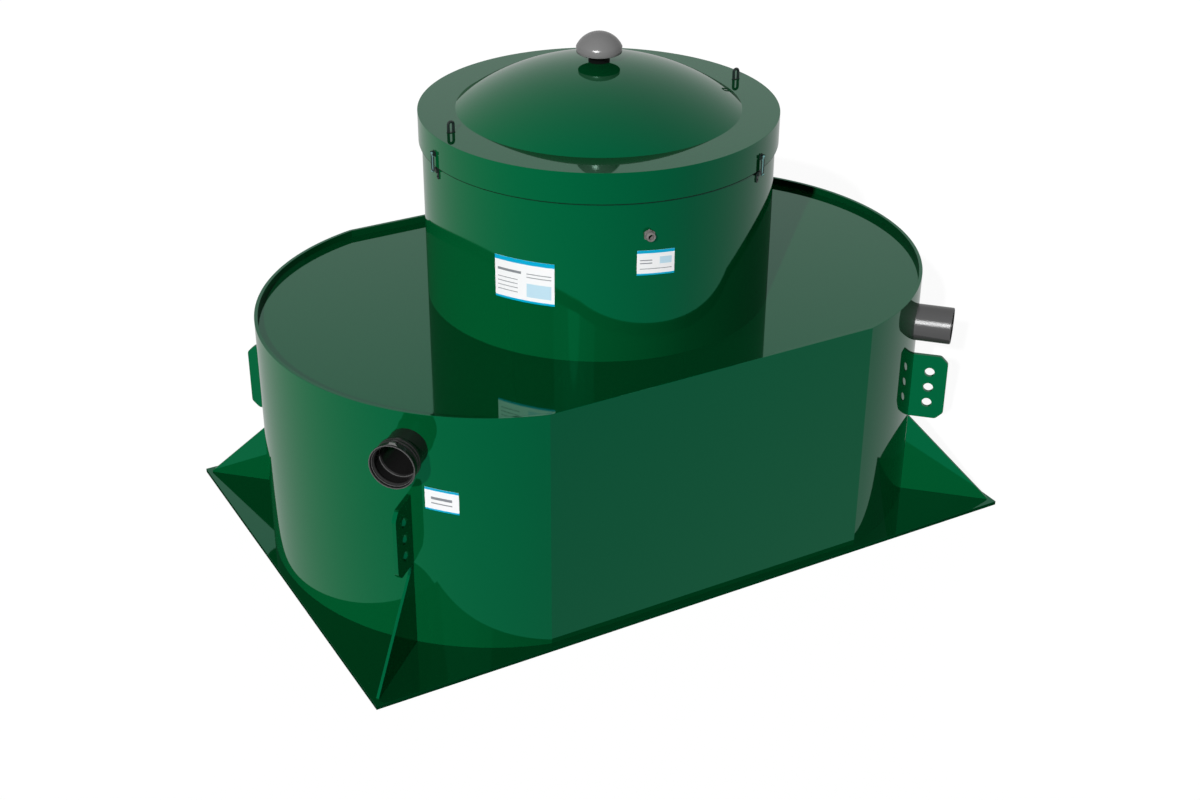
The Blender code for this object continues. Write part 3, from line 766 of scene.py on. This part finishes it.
def label(name, reach, centre_x, turn, heights, marks, drop=0.0):
    """A thin curved plate whose right end hangs lower by drop.

    The marks are (left, right, low, high, material) in shares of its size.
    """
    start, end = turn
    low, high = heights
    columns = sorted({0.0, 1.0} | {i / 16 for i in range(17)} | {m[k] for m in marks for k in (0, 1)})
    rows = sorted({0.0, 1.0} | {m[k] for m in marks for k in (2, 3)})
    shape = bmesh.new()
    skins = []
    for lift in (0.0007, -0.0003):
        skins.append([[shape.verts.new(outward(start + (end - start) * u, reach + lift,
                                               low + (high - low) * v - drop * (u - 0.5), centre_x))
                       for u in columns] for v in rows])
    last_row, last_column = len(rows) - 1, len(columns) - 1
    for skin in skins:
        for i in range(last_row):
            for j in range(last_column):
                face = shape.faces.new((skin[i][j], skin[i][j + 1], skin[i + 1][j + 1], skin[i + 1][j]))
                u, v = (columns[j] + columns[j + 1]) / 2, (rows[i] + rows[i + 1]) / 2
                for left, right, bottom, top, material in marks:
                    if left < u < right and bottom < v < top:
                        face.material_index = material
    border = [(0, j) for j in range(last_column)] + [(i, last_column) for i in range(last_row)]
    border += [(last_row, j) for j in range(last_column, 0, -1)] + [(i, 0) for i in range(last_row, 0, -1)]
    for k, (i, j) in enumerate(border):
        m, n = border[(k + 1) % len(border)]
        shape.faces.new((skins[0][i][j], skins[0][m][n], skins[1][m][n], skins[1][i][j]))
    films = [WHITE_FILM, BLUE_FILM, RULE_FILM, PANEL_FILM]
    return finish_piece(name, shape, films, "tank", sharp=30.0)


def make_labels():
    """Plain plates with coloured bands and ruled lines: no words, signs or pictures."""
    blue, rule, panel = 1, 2, 3
    marks = [(0.0, 1.0, 0.90, 1.0, blue), (0.0, 1.0, 0.0, 0.05, blue), (0.55, 0.95, 0.14, 0.46, panel),
             (0.05, 0.46, 0.66, 0.72, rule), (0.55, 0.95, 0.68, 0.70, rule), (0.55, 0.95, 0.60, 0.62, rule)]
    marks += [(0.05, 0.40, v, v + 0.018, rule) for v in (0.20, 0.30, 0.40, 0.50)]
    label("label_neck_large", NECK_R, 0.0, (-153.0, -132.75), (0.8756, 0.9996), marks)
    marks = [(0.0, 1.0, 0.88, 1.0, blue), (0.0, 1.0, 0.0, 0.07, blue), (0.08, 0.40, 0.58, 0.62, rule),
             (0.08, 0.40, 0.46, 0.50, rule), (0.08, 0.92, 0.24, 0.27, rule), (0.60, 0.92, 0.44, 0.72, panel)]
    label("label_neck_small", NECK_R, 0.0, (-107.5, -95.35), (0.9680, 1.0400), marks, 0.005)
    marks = [(0.0, 1.0, 0.90, 1.0, blue), (0.0, 1.0, 0.0, 0.07, blue), (0.18, 0.80, 0.50, 0.62, rule),
             (0.18, 0.80, 0.31, 0.36, rule)]
    label("label_inlet", END_R, -END_X, (-132.7, -125.05), (0.4475, 0.5155), marks, 0.0115)


# floor, light and camera

def make_floor():
    """A plain pale floor that keeps only a faint shadow."""
    material, nodes, links = new_material("floor")
    shader = nodes["Principled BSDF"]
    shader.inputs["Base Color"].default_value = (0.10, 0.10, 0.10, 1.0)
    shader.inputs["Roughness"].default_value = 1.0
    shader.inputs["Emission Color"].default_value = (1.0, 1.0, 1.0, 1.0)
    shader.inputs["Emission Strength"].default_value = 0.94
    shape = bmesh.new()
    bmesh.ops.create_grid(shape, x_segments=1, y_segments=1, size=30.0)
    mesh = bpy.data.meshes.new("floor")
    shape.to_mesh(mesh)
    shape.free()
    mesh.materials.append(material)
    floor = bpy.data.objects.new("floor", mesh)
    floor.location.z = -0.0005
    floor.visible_glossy = False
    floor.visible_diffuse = False
    bpy.context.scene.collection.objects.link(floor)


def towards_light(angle, height):
    return outward(angle, math.cos(math.radians(height)), math.sin(math.radians(height)))


def make_sun(name, angle, height, strength, size):
    """A distant light that isn't itself seen in the gloss."""
    light = bpy.data.lights.new(name, "SUN")
    light.energy = strength
    light.angle = math.radians(size)
    lamp = bpy.data.objects.new(name, light)
    lamp.rotation_euler = towards_light(angle, height).to_track_quat("Z", "Y").to_euler()
    lamp.visible_glossy = False
    bpy.context.scene.collection.objects.link(lamp)
    return lamp


def group(name, pieces):
    collection = bpy.data.collections.new(name)
    for piece in pieces:
        collection.objects.link(piece)
    return collection


def make_side_light():
    """It reaches the green sheets alone, and only the neck and the lid stop it."""
    lamp = make_sun("side", SIDE_ANGLE, SIDE_HEIGHT, SIDE_STRENGTH, 0.8)
    greens = [obj for obj in bpy.context.scene.objects if GREEN_PLASTIC.name in obj.material_slots]
    screens = [bpy.data.objects[name] for name in ("neck_wall", "lid_shell", "dome_shell")]
    lamp.light_linking.receiver_collection = group("green_sheets", greens)
    lamp.light_linking.blocker_collection = group("screens", screens)


def make_glint():
    """A round softbox in the key light's direction, brighter in its middle, seen only in the gloss."""
    towards = towards_light(KEY_ANGLE, KEY_HEIGHT)
    for radius, power in (*GLINT_DISKS, GREY_GLINT):
        light = bpy.data.lights.new("glint", "AREA")
        light.shape = "DISK"
        light.size = 2 * radius
        light.energy = power
        lamp = bpy.data.objects.new("glint", light)
        lamp.location = towards * GLINT_DISTANCE
        lamp.rotation_euler = towards.to_track_quat("Z", "Y").to_euler()
        lamp.visible_diffuse = False
        bpy.context.scene.collection.objects.link(lamp)
    greys = [bpy.data.objects[name] for name in ("vent_hood", "outlet_spigot")]
    lamp.light_linking.receiver_collection = group("glossy_greys", greys)


def make_world():
    """A white room, seen in first reflections, with a low even fill for all other light paths."""
    world = bpy.data.worlds.new("room")
    bpy.context.scene.world = world
    world.use_nodes = True
    nodes, links = world.node_tree.nodes, world.node_tree.links
    nodes.clear()
    place = nodes.new("ShaderNodeTexCoord")
    parts = nodes.new("ShaderNodeSeparateXYZ")
    spread = nodes.new("ShaderNodeMapRange")
    spread.inputs["From Min"].default_value = -0.25
    spread.inputs["From Max"].default_value = 0.15
    spread.inputs["To Min"].default_value = GROUND_GLOSS
    spread.inputs["To Max"].default_value = SKY_GLOSS
    ray = nodes.new("ShaderNodeLightPath")
    again = nodes.new("ShaderNodeMath")
    again.operation = "SUBTRACT"
    again.inputs[1].default_value = 1.2
    indirect = nodes.new("ShaderNodeMath")
    indirect.operation = "MAXIMUM"
    soft = nodes.new("ShaderNodeMix")
    seen = nodes.new("ShaderNodeMix")
    soft.inputs["B"].default_value = AMBIENT
    seen.inputs["B"].default_value = 1.0
    background = nodes.new("ShaderNodeBackground")
    output = nodes.new("ShaderNodeOutputWorld")
    links.new(place.outputs["Generated"], parts.inputs["Vector"])
    links.new(parts.outputs["Z"], spread.inputs["Value"])
    links.new(spread.outputs["Result"], soft.inputs["A"])
    links.new(ray.outputs["Glossy Depth"], again.inputs[0])
    links.new(ray.outputs["Diffuse Depth"], indirect.inputs[0])
    links.new(again.outputs["Value"], indirect.inputs[1])
    links.new(indirect.outputs["Value"], soft.inputs["Factor"])
    links.new(soft.outputs["Result"], seen.inputs["A"])
    links.new(ray.outputs["Is Camera Ray"], seen.inputs["Factor"])
    links.new(seen.outputs["Result"], background.inputs["Strength"])
    links.new(background.outputs["Background"], output.inputs["Surface"])
    background.inputs["Color"].default_value = (1.0, 1.0, 1.0, 1.0)


def make_camera():
    forward = Vector((math.sin(CAMERA_YAW) * math.cos(CAMERA_PITCH),
                      math.cos(CAMERA_YAW) * math.cos(CAMERA_PITCH), -math.sin(CAMERA_PITCH)))
    right = Vector((math.cos(CAMERA_YAW), -math.sin(CAMERA_YAW), 0.0))
    up = right.cross(forward)
    rolled_right = right * math.cos(CAMERA_ROLL) + up * math.sin(CAMERA_ROLL)
    rolled_up = up * math.cos(CAMERA_ROLL) - right * math.sin(CAMERA_ROLL)
    axes = Matrix((rolled_right, rolled_up, -forward)).transposed()
    data = bpy.data.cameras.new("camera")
    data.sensor_fit = "HORIZONTAL"
    data.sensor_width = SENSOR_WIDTH
    data.lens = CAMERA_LENS
    data.clip_end = 100.0
    camera = bpy.data.objects.new("camera", data)
    camera.matrix_world = Matrix.Translation(CAMERA_PLACE) @ axes.to_4x4()
    bpy.context.scene.collection.objects.link(camera)
    bpy.context.scene.camera = camera


make_wall()
make_deck()
make_neck()
make_plate_and_gussets()
make_lugs()
make_lid()
make_dome()
make_vent()
make_eyes()
make_clasps()
make_inlet()
make_outlet()
make_gland()
make_labels()
make_floor()
make_world()
make_sun("key", KEY_ANGLE, KEY_HEIGHT, KEY_STRENGTH, 0.8)
make_sun("fill", FILL_ANGLE, FILL_HEIGHT, FILL_STRENGTH, 25.0)
make_side_light()
make_glint()
make_camera()
bpy.context.scene.view_settings.view_transform = "Standard"
